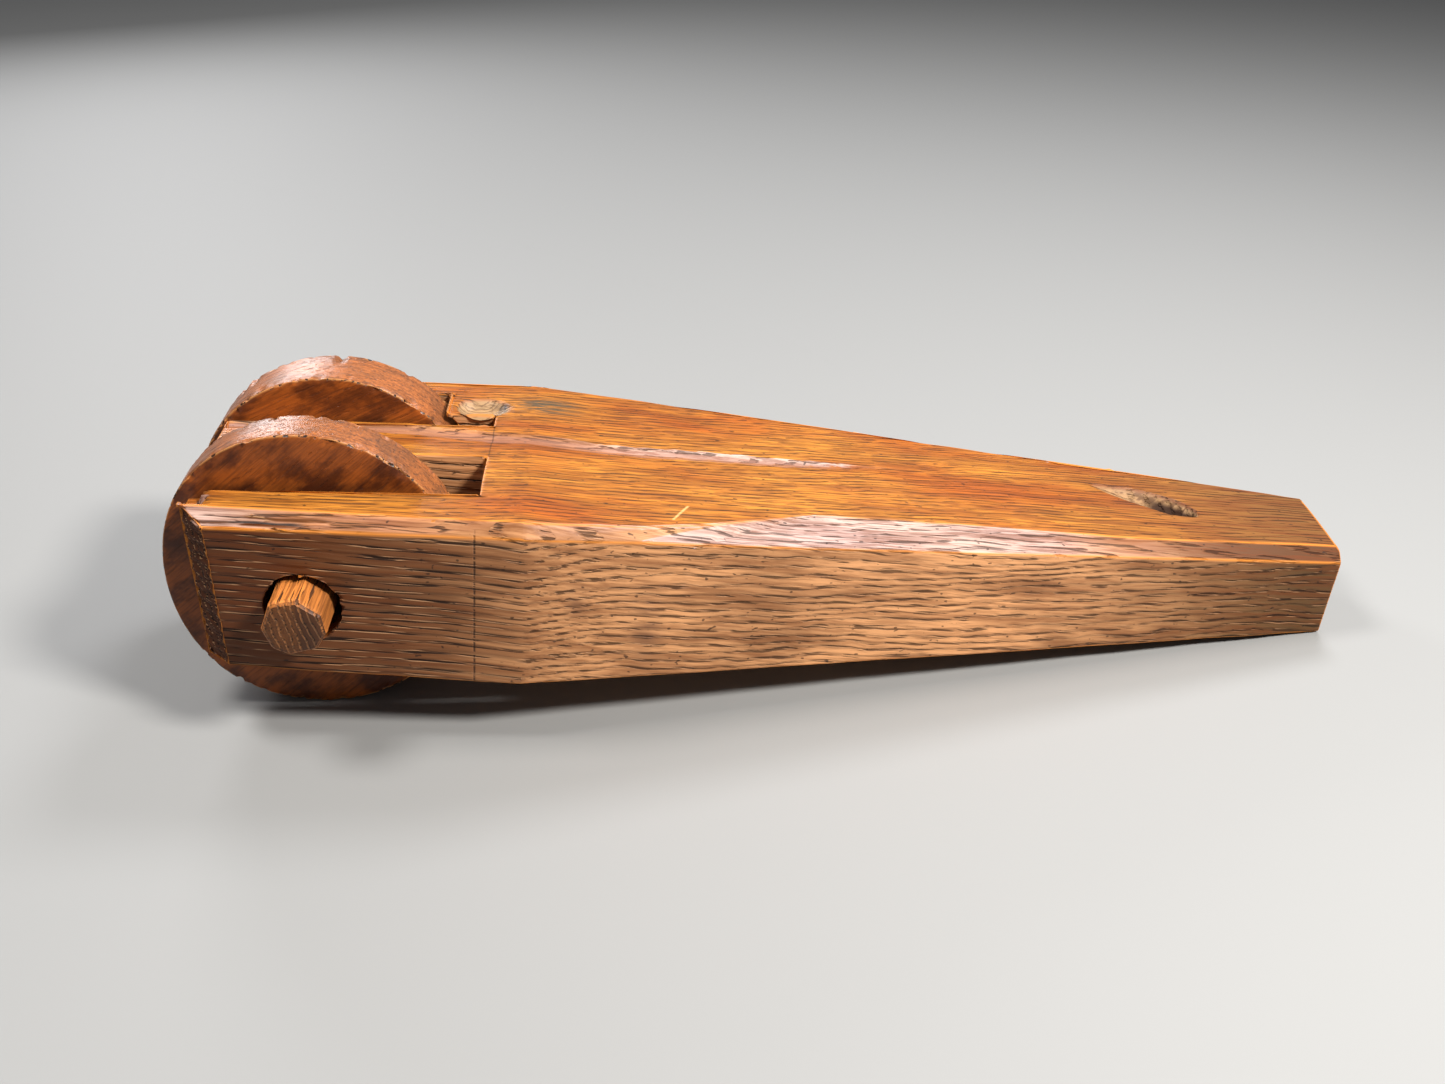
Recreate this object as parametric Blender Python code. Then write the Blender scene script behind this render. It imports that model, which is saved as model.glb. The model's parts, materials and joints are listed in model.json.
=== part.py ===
"""Wheeled wooden beam: a hewn, tapered hardwood beam with two solid wooden wheels.

The wide end of the beam is split by two slots into three prongs. A wheel stands in each slot,
and one loose wooden axle passes through the prongs and both wheels. At rest the wheels and the
underside of the narrow tip touch the ground, so the beam slopes down from the wheels to the tip.

Frame: +X along the beam towards the tip, +Y along the axle, +Z up, ground at Z = 0, with the
origin under the middle of the object's box. Metres.
"""

import math

import bmesh
import bpy
from mathutils import Vector

MM = 0.001

# Wheels. Both stand on the ground, so each wheel's centre is one radius up, and their bores are
# wide enough to hang a little out of centre on the axle.
FRONT_WHEEL_RADIUS = 46.8 * MM
FRONT_WHEEL_WIDTH = 15.0 * MM
REAR_WHEEL_RADIUS = 45.6 * MM
REAR_WHEEL_WIDTH = 21.4 * MM
FRONT_WHEEL_BORE = 11.6 * MM
REAR_WHEEL_BORE = 12.2 * MM
WHEEL_OFFSET_X = -1.0 * MM
WHEEL_GAP = 1.0 * MM
WHEEL_EDGE = 0.8 * MM
REAR_WHEEL_FAR_EDGE = 1.8 * MM
WHEEL_STEPS = 96
ROUND_ANGLE = math.radians(35)

# Axle: a whittled stick, a little thinner than its bore in the beam.
AXLE_RADIUS = 9.9 * MM
AXLE_SIDES = 14
AXLE_END_EDGE = 2.2 * MM
AXLE_NEAR_Y = -30.5 * MM
AXLE_FAR_Y = 91.0 * MM
AXLE_HEIGHT = 46.9 * MM
BEAM_BORE_RADIUS = 11.1 * MM
BEAM_BORE_OFFSET = (0.4 * MM, 0.0)
BORE_STEPS = 48

# Beam, in its own frame: U along the underside towards the tip, Y along the axle, V square to the
# underside. U = V = 0 on the axle, and Y = 0 on the front wheel's near face.
UNDERSIDE_V = -22.4 * MM
CREST_U = 64.0 * MM
CREST_V = 32.3 * MM
WHEEL_END_TOP = (-34.3 * MM, 28.7 * MM)
WHEEL_END_BOTTOM_U = -30.2 * MM
TIP_TOP_V = 9.9 * MM
TIP_NEAR = (337.0 * MM, 28.7 * MM)
TIP_FAR = (339.2 * MM, 71.8 * MM)
NEAR_SIDE_END_Y = -17.5 * MM
NEAR_SIDE_CREST_Y = -21.9 * MM
FAR_SIDE_END_Y = 84.7 * MM

# Bevels. The near top edge's bevel is given as (U, width); past the crest it was shaved wide.
NEAR_BEVEL_DROP = 4.2 * MM
NEAR_BEVEL = (
    (-27.0 * MM, 6.2 * MM), (40.0 * MM, 4.4 * MM), (CREST_U, 3.2 * MM), (98.0 * MM, 3.0 * MM),
    (118.0 * MM, 5.6 * MM), (152.0 * MM, 14.4 * MM), (185.0 * MM, 12.6 * MM), (222.0 * MM, 9.6 * MM),
    (268.0 * MM, 5.6 * MM), (337.0 * MM, 5.4 * MM),
)
FAR_BEVEL = 2.6 * MM
END_BEVEL_LENGTH = 7.0 * MM
END_BEVEL_DEPTH = 6.0 * MM
TIP_EDGE = 1.4 * MM

# Slots for the wheels: Y from, Y to. A knot is left in the rear slot's far corner, from KNOT_Y out.
# It is cut back only as far as the wheel needs.
FRONT_SLOT = (-1.6 * MM, 23.2 * MM)
REAR_SLOT = (46.2 * MM, 69.8 * MM)
SLOT_END_U = 49.6 * MM
KNOT_U = 34.0 * MM
KNOT_Y = 54.0 * MM
WHEEL_CLEARANCE = 1.9 * MM
RECESS_STEPS = 96
OVERSHOOT = 30.0 * MM

# The beam's slope brings the tip's underside to the ground with the axle at its height. The far
# corner of the tip is the lowest point: AXLE_HEIGHT = U sin(slope) - UNDERSIDE_V cos(slope).
TIP_REACH = math.hypot(TIP_FAR[0], UNDERSIDE_V)
SLOPE = math.asin(AXLE_HEIGHT / TIP_REACH) - math.atan2(-UNDERSIDE_V, TIP_FAR[0])

# The axle's place in the object's frame, which is centred on the object's box. The box ends at the
# front wheel and at the far corner of the tip, just under its bevel.
TIP_CORNER_V = CREST_V + (TIP_TOP_V - CREST_V) * (TIP_FAR[0] - CREST_U) / (TIP_NEAR[0] - CREST_U)
TIP_MAX_X = TIP_FAR[0] * math.cos(SLOPE) + (TIP_CORNER_V - FAR_BEVEL) * math.sin(SLOPE)
AXLE_X = -(TIP_MAX_X + WHEEL_OFFSET_X - FRONT_WHEEL_RADIUS) / 2
SHIFT_Y = -(AXLE_NEAR_Y + AXLE_FAR_Y) / 2

OILED_OAK = (0.36, 0.135, 0.035)
RED_BROWN_OAK = (0.25, 0.075, 0.02)
DARK_OAK = (0.30, 0.105, 0.03)
PALE_ORANGE_OAK = (0.45, 0.17, 0.045)


def make_material(name, colour, roughness):
    material = bpy.data.materials.new(name)
    material.use_nodes = True
    shader = material.node_tree.nodes["Principled BSDF"]
    shader.inputs["Base Color"].default_value = (*colour, 1.0)
    shader.inputs["Roughness"].default_value = roughness
    shader.inputs["Metallic"].default_value = 0.0
    material.diffuse_color = (*colour, 1.0)
    return material


def make_collection(name):
    collection = bpy.data.collections.new(name)
    bpy.context.scene.collection.children.link(collection)
    return collection


def object_from_bmesh(name, bm, collection, material=None):
    mesh = bpy.data.meshes.new(name)
    bm.to_mesh(mesh)
    bm.free()
    if material:
        mesh.materials.append(material)
    piece = bpy.data.objects.new(name, mesh)
    collection.objects.link(piece)
    return piece


def shade_round(mesh):
    """Smooth shading over the round faces, with the edges between unlike faces kept crisp."""
    mesh.shade_smooth()
    mesh.set_sharp_from_angle(angle=ROUND_ANGLE)


def top_height(u):
    """Height V of the beam's top at U: a gentle rise from the wheel end to the crest, then the fall."""
    end_u, end_v = WHEEL_END_TOP
    if u < CREST_U:
        return CREST_V + (end_v - CREST_V) * (CREST_U - u) / (CREST_U - end_u)
    return CREST_V + (TIP_TOP_V - CREST_V) * (u - CREST_U) / (TIP_NEAR[0] - CREST_U)


def near_side(u):
    """Y of the near side at U: it swells to the crest and then runs in to the tip."""
    end_u = WHEEL_END_TOP[0]
    if u < CREST_U:
        return NEAR_SIDE_CREST_Y + (NEAR_SIDE_END_Y - NEAR_SIDE_CREST_Y) * (CREST_U - u) / (CREST_U - end_u)
    return NEAR_SIDE_CREST_Y + (TIP_NEAR[1] - NEAR_SIDE_CREST_Y) * (u - CREST_U) / (TIP_NEAR[0] - CREST_U)


def far_side(u):
    """Y of the far side at U: it runs in a straight line from the wheel end to the tip."""
    end_u = WHEEL_END_TOP[0]
    return FAR_SIDE_END_Y + (TIP_FAR[1] - FAR_SIDE_END_Y) * (u - end_u) / (TIP_FAR[0] - end_u)


def near_bevel(u):
    """Width of the bevel along the near top edge at U: narrow, but wide where the edge was shaved."""
    for (u_from, width_from), (u_to, width_to) in zip(NEAR_BEVEL, NEAR_BEVEL[1:]):
        if u <= u_to:
            return width_from + (width_to - width_from) * max(0.0, u - u_from) / (u_to - u_from)
    return NEAR_BEVEL[-1][1]


def section(u):
    """The beam's cross-section at U, from the underside's near edge round by the top."""
    near, far, top = near_side(u), far_side(u), top_height(u)
    outline = [
        (near, UNDERSIDE_V), (near, top - NEAR_BEVEL_DROP), (near + near_bevel(u), top),
        (far - FAR_BEVEL, top), (far, top - FAR_BEVEL), (far, UNDERSIDE_V),
    ]
    return [Vector((u, y, v)) for y, v in outline]


def make_hewn_length():
    """The beam's length as a loft through its unlike sections, left over-long at both ends."""
    stations = [WHEEL_END_TOP[0] - OVERSHOOT] + [u for u, _ in NEAR_BEVEL] + [TIP_FAR[0] + OVERSHOOT]
    bm = bmesh.new()
    rings = [[bm.verts.new(point) for point in section(u)] for u in stations]
    for ring, following in zip(rings, rings[1:]):
        for index in range(len(ring)):
            beside = index - 1
            bm.faces.new((ring[beside], ring[index], following[index], following[beside]))
    bm.faces.new(rings[0])
    bm.faces.new(rings[-1])
    bmesh.ops.recalc_face_normals(bm, faces=bm.faces)
    return bm


def cut_away(bm, point, normal):
    """Saw the solid along a plane and close the cut; what lies on the normal's side goes."""
    geometry = bm.verts[:] + bm.edges[:] + bm.faces[:]
    result = bmesh.ops.bisect_plane(bm, geom=geometry, dist=1e-7, plane_co=point,
                                    plane_no=normal.normalized(), clear_outer=True)
    cut_edges = [item for item in result["geom_cut"] if isinstance(item, bmesh.types.BMEdge)]
    bmesh.ops.contextual_create(bm, geom=cut_edges)


def cut_through(bm, first, second, third, outside):
    """Saw along the plane through three points; the point named outside is on the side that goes."""
    a, b, c = Vector(first), Vector(second), Vector(third)
    normal = (b - a).cross(c - a)
    if normal.dot(Vector(outside) - a) < 0:
        normal = -normal
    cut_away(bm, a, normal)


def cut_ends(bm):
    """The tip's end, its worn top edge, the wheel end, and the bevels on the wheel end's uprights."""
    tip_near, tip_far = Vector((*TIP_NEAR, TIP_TOP_V)), Vector((*TIP_FAR, TIP_TOP_V))
    cut_through(bm, tip_near, tip_far, tip_near + Vector((0, 0, 1)), tip_near + Vector((1, 0, 0)))
    edge = Vector((0, 0, -TIP_EDGE))
    cut_through(bm, tip_near + edge, tip_far + edge, tip_near + Vector((-TIP_EDGE, 0, 0)),
                tip_near + Vector((0, 0, 1)))
    end_u, end_v = WHEEL_END_TOP
    upright = Vector((WHEEL_END_BOTTOM_U - end_u, 0, UNDERSIDE_V - end_v))
    end_top = Vector((end_u, 0, end_v))
    cut_through(bm, end_top, end_top + upright, end_top + Vector((0, 1, 0)),
                end_top + Vector((-1, 0, 0)))
    for side_y, inward in ((near_side(end_u), 1), (far_side(end_u), -1)):
        on_side = Vector((end_u + END_BEVEL_LENGTH, side_y, end_v))
        on_end = Vector((end_u, side_y + inward * END_BEVEL_DEPTH, end_v))
        cut_through(bm, on_side, on_end, on_side + upright, on_side + Vector((-1, -inward, 0)))


def make_slot_cutter(name, slot, end_u, cutters):
    """A block as wide as the slot, open past the wheel end, the top and the underside."""
    low = Vector((WHEEL_END_TOP[0] - OVERSHOOT, slot[0], UNDERSIDE_V - OVERSHOOT))
    high = Vector((end_u, slot[1], CREST_V + OVERSHOOT))
    bm = bmesh.new()
    bmesh.ops.create_cube(bm, size=1.0)
    bmesh.ops.scale(bm, vec=high - low, verts=bm.verts)
    bmesh.ops.translate(bm, vec=(low + high) / 2, verts=bm.verts)
    return object_from_bmesh(name, bm, cutters)


def make_round_cutter(name, radius, centre, span, steps, cutters):
    """A round rod along Y over the span, with its middle at centre = (U, V)."""
    bm = bmesh.new()
    bmesh.ops.create_cone(bm, cap_ends=True, segments=steps, radius1=radius, radius2=radius,
                          depth=span[1] - span[0])
    bmesh.ops.rotate(bm, cent=(0, 0, 0), matrix=turn_to_y(), verts=bm.verts)
    bmesh.ops.translate(bm, vec=(centre[0], (span[0] + span[1]) / 2, centre[1]), verts=bm.verts)
    cutter = object_from_bmesh(name, bm, cutters)
    shade_round(cutter.data)
    return cutter


def make_cutters(cutters):
    """The wheels' slots, the recess that lets the rear wheel turn past the knot, and the bore."""
    across, down = WHEEL_OFFSET_X, REAR_WHEEL_RADIUS - AXLE_HEIGHT
    wheel_centre = (across * math.cos(SLOPE) - down * math.sin(SLOPE),
                    across * math.sin(SLOPE) + down * math.cos(SLOPE))
    return [
        make_slot_cutter("front_slot_cutter", FRONT_SLOT, SLOT_END_U, cutters),
        make_slot_cutter("rear_slot_cutter", REAR_SLOT, KNOT_U, cutters),
        make_slot_cutter("rear_slot_end_cutter", (REAR_SLOT[0], KNOT_Y), SLOT_END_U, cutters),
        make_round_cutter("rear_wheel_recess_cutter", REAR_WHEEL_RADIUS + WHEEL_CLEARANCE,
                          wheel_centre, REAR_SLOT, RECESS_STEPS, cutters),
        make_round_cutter("axle_bore_cutter", BEAM_BORE_RADIUS, BEAM_BORE_OFFSET,
                          (AXLE_NEAR_Y - OVERSHOOT, AXLE_FAR_Y + OVERSHOOT), BORE_STEPS, cutters),
    ]


def turn_to_y():
    """Turns a shape made along Z so that its +Z end points along +Y."""
    return Vector((0, 0, 1)).rotation_difference(Vector((0, 1, 0))).to_matrix()


def make_beam(parts, cutters):
    """The hewn length with its two slots and the axle's bore cut out, sloped down to the tip."""
    bm = make_hewn_length()
    cut_ends(bm)
    beam = object_from_bmesh("beam", bm, parts, make_material("oiled_oak", OILED_OAK, 0.42))
    tools = make_cutters(cutters)
    for cutter in tools:
        cutter.hide_render = True
        cutter.display_type = "WIRE"
        cut = beam.modifiers.new(cutter.name, "BOOLEAN")
        cut.operation = "DIFFERENCE"
        cut.solver = "EXACT"
        cut.object = cutter
    for item in [beam] + tools:
        item.location = (AXLE_X, SHIFT_Y, AXLE_HEIGHT)
        item.rotation_euler = (0, SLOPE, 0)
    return beam


def make_wheel(name, radius, bore, near_y, width, far_edge, parts, material):
    """A turned disc. The profile runs down the outer side, in and back up the bore."""
    profile = [
        (bore, width), (radius - far_edge, width), (radius, width - far_edge),
        (radius, WHEEL_EDGE), (radius - WHEEL_EDGE, 0), (bore, 0),
    ]
    bm = bmesh.new()
    verts = [bm.verts.new((r, 0, z)) for r, z in profile]
    for first, second in zip(verts, verts[1:] + verts[:1]):
        bm.edges.new((first, second))
    bmesh.ops.spin(bm, geom=bm.verts[:] + bm.edges[:], cent=(0, 0, 0), axis=(0, 0, 1),
                   angle=2 * math.pi, steps=WHEEL_STEPS, use_merge=True)
    bmesh.ops.recalc_face_normals(bm, faces=bm.faces)
    wheel = object_from_bmesh(name, bm, parts, material)
    shade_round(wheel.data)
    wheel.rotation_euler = turn_to_y().to_euler()
    wheel.location = (AXLE_X + WHEEL_OFFSET_X, SHIFT_Y + near_y, radius)
    return wheel


def make_axle(parts):
    """A many-sided whittled stick with its ends rounded over."""
    length = AXLE_FAR_Y - AXLE_NEAR_Y
    bm = bmesh.new()
    bmesh.ops.create_cone(bm, cap_ends=True, segments=AXLE_SIDES, radius1=AXLE_RADIUS,
                          radius2=AXLE_RADIUS, depth=length)
    end_edges = [edge for edge in bm.edges if abs(edge.verts[0].co.z - edge.verts[1].co.z) < 1e-6]
    bmesh.ops.bevel(bm, geom=end_edges, offset=AXLE_END_EDGE, segments=3, profile=0.5, affect="EDGES")
    bmesh.ops.rotate(bm, cent=(0, 0, 0), matrix=turn_to_y(), verts=bm.verts)
    bmesh.ops.translate(bm, vec=(0, (AXLE_NEAR_Y + AXLE_FAR_Y) / 2, 0), verts=bm.verts)
    axle = object_from_bmesh("axle", bm, parts, make_material("whittled_oak", PALE_ORANGE_OAK, 0.5))
    shade_round(axle.data)
    axle.location = (AXLE_X, SHIFT_Y, AXLE_HEIGHT)
    return axle


def clear_scene():
    for item in list(bpy.data.objects):
        bpy.data.objects.remove(item, do_unlink=True)


def main():
    clear_scene()
    parts = make_collection("wheeled_beam")
    cutters = make_collection("cutters")
    make_beam(parts, cutters)
    make_wheel("front_wheel", FRONT_WHEEL_RADIUS, FRONT_WHEEL_BORE, 0.0, FRONT_WHEEL_WIDTH,
               WHEEL_EDGE, parts, make_material("red_brown_oak", RED_BROWN_OAK, 0.45))
    make_wheel("rear_wheel", REAR_WHEEL_RADIUS, REAR_WHEEL_BORE, REAR_SLOT[0] + WHEEL_GAP,
               REAR_WHEEL_WIDTH, REAR_WHEEL_FAR_EDGE, parts,
               make_material("dark_oak", DARK_OAK, 0.45))
    make_axle(parts)


main()
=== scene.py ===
"""Wheeled wooden beam: the finished look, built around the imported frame.

A hewn, tapered oak beam stands on two wooden wheels and on its own tip. Each wheel turns in a slot
in the beam's wide end, and one loose whittled axle passes through them. Every piece here stands for
one node of the frame and rides on that node's body. Sizes are in metres, and in millimetres in the
materials.
"""

import json
import math
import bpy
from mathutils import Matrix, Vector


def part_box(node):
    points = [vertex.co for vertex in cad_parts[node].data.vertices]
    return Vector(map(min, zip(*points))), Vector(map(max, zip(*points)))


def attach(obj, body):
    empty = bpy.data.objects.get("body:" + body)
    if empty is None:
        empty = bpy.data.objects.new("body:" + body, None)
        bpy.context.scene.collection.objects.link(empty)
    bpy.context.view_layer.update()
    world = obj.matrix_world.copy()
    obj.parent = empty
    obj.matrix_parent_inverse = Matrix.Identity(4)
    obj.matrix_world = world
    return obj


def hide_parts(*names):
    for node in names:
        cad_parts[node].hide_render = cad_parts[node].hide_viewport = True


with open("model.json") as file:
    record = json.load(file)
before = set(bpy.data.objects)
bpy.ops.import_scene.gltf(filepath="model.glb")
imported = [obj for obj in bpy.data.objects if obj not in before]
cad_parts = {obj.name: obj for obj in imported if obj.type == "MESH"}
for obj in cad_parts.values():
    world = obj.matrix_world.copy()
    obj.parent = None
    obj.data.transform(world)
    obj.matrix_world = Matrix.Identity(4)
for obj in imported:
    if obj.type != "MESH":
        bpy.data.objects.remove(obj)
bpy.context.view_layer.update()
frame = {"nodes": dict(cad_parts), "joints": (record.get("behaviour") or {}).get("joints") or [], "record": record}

from types import SimpleNamespace

import bmesh
import bpy
from bpy.props import FloatProperty, FloatVectorProperty, PointerProperty
from mathutils import Matrix, Vector, noise

bl_info = {
    "name": "Wheeled Wooden Beam",
    "version": (1, 0, 0),
    "blender": (4, 5, 0),
    "location": "3D View > Sidebar > Wheeled Beam",
    "description": "Hewn oak beam on two wooden wheels and a whittled axle, with its stage",
    "category": "Add Mesh",
}

MM = 0.001

JOINT = {joint["name"]: joint for joint in frame["joints"]}
MOUNT = {mount["name"]: mount for mount in frame["record"]["mounts"]}
UNDERSIDE = MOUNT["underside"]["axis"]
SLOPE = math.atan2(-UNDERSIDE[0], -UNDERSIDE[2])
AXLE_X, _, AXLE_HEIGHT = JOINT["axle_spin"]["pos_m"]
WHEEL_FACE_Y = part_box("front_wheel")[0].y

# The beam's own frame, in millimetres: U along its underside from the axle, Y along the axle from
# the front wheel's near face, V square to the underside.
BEAM_FRAME = (Matrix.Translation((AXLE_X, WHEEL_FACE_Y, AXLE_HEIGHT))
              @ Matrix.Rotation(SLOPE, 4, "Y") @ Matrix.Scale(MM, 4))
TO_BEAM = BEAM_FRAME.inverted()

UNDERSIDE_V = -22.4
CREST_U, CREST_V = 64.0, 32.3
END_U, TIP_U = -34.3, 337.0

# A vertex group leaves out weights up to the first; corners nearer than the second are one corner.
LEAST_WEIGHT = 0.003
SAME_CORNER = 1e-6

# Faces that meet at less than this angle are one flat face.
FLAT_ANGLE = math.radians(0.4)


def smooth_step(low, high, value):
    """0 at low, 1 at high, smooth between; low may be the larger, for a fall."""
    share = min(max((value - low) / (high - low), 0.0), 1.0)
    return share * share * (3 - 2 * share)


def bump_at(value, centre, reach):
    """1 at the centre, falling smoothly to 0 a reach away."""
    return 1 - smooth_step(0.0, reach, abs(value - centre))


def along(points, place):
    """The value at a place on a broken line given as (place, value) points."""
    for (start, low), (end, high) in zip(points, points[1:]):
        if place <= end:
            return low + (high - low) * max(place - start, 0.0) / (end - start)
    return points[-1][1]


# ------------------------------------------------------------------------------------------------
# Modelling
# ------------------------------------------------------------------------------------------------

def put_away():
    """Leaves edit mode and deselects everything, the frame's own nodes included."""
    if bpy.context.object and bpy.context.object.mode != "OBJECT":
        bpy.ops.object.mode_set(mode="OBJECT")
    bpy.ops.object.select_all(action="DESELECT")


def take_up(piece):
    """Selects one piece alone and makes it active."""
    put_away()
    piece.select_set(True)
    bpy.context.view_layer.objects.active = piece


def start_edit(piece, mode="EDGE"):
    """Opens one piece for editing, with nothing selected."""
    take_up(piece)
    bpy.ops.object.mode_set(mode="EDIT")
    bpy.ops.mesh.select_mode(type=mode)
    bpy.ops.mesh.select_all(action="DESELECT")


def pick(piece, kind, test):
    """In edit mode, selects the verts, edges or faces that pass the test, and nothing else."""
    chosen = [item.index for item in getattr(bmesh.from_edit_mesh(piece.data), kind) if test(item)]
    bpy.ops.mesh.select_all(action="DESELECT")
    items = getattr(bmesh.from_edit_mesh(piece.data), kind)
    items.ensure_lookup_table()
    for index in chosen:
        items[index].select_set(True)
    bmesh.update_edit_mesh(piece.data)


def add_cylinder(name, sides, radius, length, centre):
    """Adds a cylinder that lies along Y, as the wheels and the axle do."""
    put_away()
    bpy.ops.mesh.primitive_cylinder_add(vertices=sides, radius=radius, depth=length, location=centre,
                                        rotation=(math.pi / 2, 0, 0))
    piece = bpy.context.object
    piece.name = name
    bpy.ops.object.transform_apply(location=True, rotation=True, scale=True)
    return piece


def copy_of_node(node, name):
    """A copy of a frame node's mesh, with its doubled corners merged and its flat faces whole."""
    mesh = frame["nodes"][node].data.copy()
    mesh.name = name
    mesh.materials.clear()
    piece = bpy.data.objects.new(name, mesh)
    bpy.context.scene.collection.objects.link(piece)
    start_edit(piece)
    bpy.ops.mesh.select_all(action="SELECT")
    bpy.ops.mesh.remove_doubles(threshold=SAME_CORNER)
    bpy.ops.mesh.dissolve_limited(angle_limit=FLAT_ANGLE)
    bpy.ops.object.mode_set(mode="OBJECT")
    return piece


def face_width(face):
    """How narrow a face is: its area over its longest edge."""
    return face.calc_area() / max(edge.calc_length() for edge in face.edges)


def round_arrises(piece, width, segments, test, clamp=True):
    """Bevels the edges that pass the test, and keeps the rounding's middle in the group 'arris'."""
    start_edit(piece)
    pick(piece, "edges", test)
    bpy.ops.mesh.bevel(offset=width, segments=segments, profile=0.5, affect="EDGES",
                       clamp_overlap=clamp)
    if "arris" not in piece.vertex_groups:
        piece.vertex_groups.new(name="arris")
    bpy.ops.mesh.select_mode(type="VERT")
    pick(piece, "verts",
         lambda vert: vert.select and all(face_width(face) < width for face in vert.link_faces))
    piece.vertex_groups.active = piece.vertex_groups["arris"]
    bpy.context.scene.tool_settings.vertex_group_weight = 1.0
    bpy.ops.object.vertex_group_assign()
    bpy.ops.object.mode_set(mode="OBJECT")


def slice_piece(piece, points, normal):
    """Cuts a piece's faces along parallel planes, without parting it."""
    start_edit(piece)
    for point in points:
        bpy.ops.mesh.select_all(action="SELECT")
        bpy.ops.mesh.bisect(plane_co=point, plane_no=normal)
    bpy.ops.object.mode_set(mode="OBJECT")


def apply_modifier(piece, modifier):
    take_up(piece)
    bpy.ops.object.modifier_apply(modifier=modifier.name)


def refine(piece, levels):
    """Splits every face into quads without changing the shape."""
    finer = piece.modifiers.new("finer", "SUBSURF")
    finer.subdivision_type = "SIMPLE"
    finer.levels = levels
    finer.render_levels = levels
    apply_modifier(piece, finer)


def keep_values(piece, name, values):
    """Keeps one value per vertex as a mesh attribute that a material can read."""
    kept = piece.data.attributes.new(name, "FLOAT", "POINT")
    kept.data.foreach_set("value", values)


def weigh(piece, name, share):
    """Makes a vertex group from share(place, normal), and returns every vertex's share, from 0 to 1."""
    group = piece.vertex_groups.new(name=name)
    shares = [min(max(share(vertex.co, vertex.normal), 0.0), 1.0) for vertex in piece.data.vertices]
    for index, amount in enumerate(shares):
        if amount > LEAST_WEIGHT:
            group.add((index,), amount, "REPLACE")
    return shares


def carve(piece, name, depth, share, direction="NORMAL", keep=False):
    """Moves the surface by -depth times share(place, normal), and can keep the share as an attribute."""
    shares = weigh(piece, name, share)
    sink = piece.modifiers.new(name, "DISPLACE")
    sink.vertex_group = name
    sink.mid_level = 0
    sink.strength = -depth
    sink.direction = direction
    apply_modifier(piece, sink)
    piece.vertex_groups.remove(piece.vertex_groups[name])
    if keep:
        keep_values(piece, name, shares)


def soften(piece, name, share, repeats):
    """Smooths the surface where share(place, normal) is above 0."""
    weigh(piece, name, share)
    smooth = piece.modifiers.new(name, "SMOOTH")
    smooth.vertex_group = name
    smooth.factor = 0.5
    smooth.iterations = repeats
    apply_modifier(piece, smooth)
    piece.vertex_groups.remove(piece.vertex_groups[name])


def keep_group(piece, name):
    """Turns a vertex group into a mesh attribute that a material can read."""
    group = piece.vertex_groups[name]
    weights = []
    for vertex in piece.data.vertices:
        weights.append(max((g.weight for g in vertex.groups if g.group == group.index), default=0.0))
    piece.vertex_groups.remove(group)
    keep_values(piece, name, weights)


def weather(piece, name, depth, size):
    """Wears the surface inwards by a cloudy depth, so that no face stays dead flat."""
    clouds = bpy.data.textures.new(name, "CLOUDS")
    clouds.noise_scale = size
    clouds.noise_depth = 2
    worn = piece.modifiers.new(name, "DISPLACE")
    worn.texture = clouds
    worn.texture_coords = "LOCAL"
    worn.mid_level = 1.0
    worn.strength = depth
    apply_modifier(piece, worn)


def close_up(piece, angle):
    """Merges doubles, turns all faces outwards and smooths the shading between gentle angles."""
    start_edit(piece)
    bpy.ops.mesh.select_all(action="SELECT")
    bpy.ops.mesh.remove_doubles(threshold=SAME_CORNER)
    bpy.ops.mesh.normals_make_consistent(inside=False)
    bpy.ops.object.mode_set(mode="OBJECT")
    bpy.ops.object.shade_smooth_by_angle(angle=angle)
    bpy.ops.object.transform_apply(location=True, rotation=True, scale=True)
    put_away()


def settle(piece, node, material):
    """Gives a finished piece its material and its body, and hides the frame node that it stands for."""
    piece.data.materials.clear()
    piece.data.materials.append(material)
    body = next(name for name, nodes in frame["record"]["behaviour"]["bodies"].items() if node in nodes)
    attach(piece, body)
    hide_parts(node)


# ------------------------------------------------------------------------------------------------
# Materials
# ------------------------------------------------------------------------------------------------

class Wire:
    """A shader socket that sums, products and comparisons can be written on."""

    def __init__(self, finish, socket):
        self.finish = finish
        self.socket = socket

    def joined(self, operation, first, second=0.0, third=0.0):
        return self.finish.add("Math", {"operation": operation}, {0: first, 1: second, 2: third})

    def __add__(self, other):
        return self.joined("ADD", self, other)

    def __sub__(self, other):
        return self.joined("SUBTRACT", self, other)

    def __mul__(self, other):
        return self.joined("MULTIPLY", self, other)

    def __truediv__(self, other):
        return self.joined("DIVIDE", self, other)

    def __pow__(self, other):
        return self.joined("POWER", self, other)

    def __rsub__(self, other):
        return self.joined("SUBTRACT", other, self)

    def __rtruediv__(self, other):
        return self.joined("DIVIDE", other, self)

    def __rpow__(self, other):
        return self.joined("POWER", other, self)

    __radd__ = __add__
    __rmul__ = __mul__

    def __abs__(self):
        return self.joined("ABSOLUTE", self)

    def over(self, floor, blend):
        """The larger of this and the floor, with the corner between them rounded."""
        return self.joined("SMOOTH_MAX", self, floor, blend)

    def rise(self, low, high):
        """0 below low, 1 above high, smooth between; low may be the larger, for a fall."""
        if low > high:
            return 1 - self.rise(high, low)
        return self.finish.add("MapRange", {"interpolation_type": "SMOOTHSTEP"},
                               {"Value": self, "From Min": low, "From Max": high})

    def near(self, centre, reach):
        """1 at the centre, falling smoothly to 0 a reach away."""
        return abs(self - centre).rise(reach, 0.0)


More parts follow.
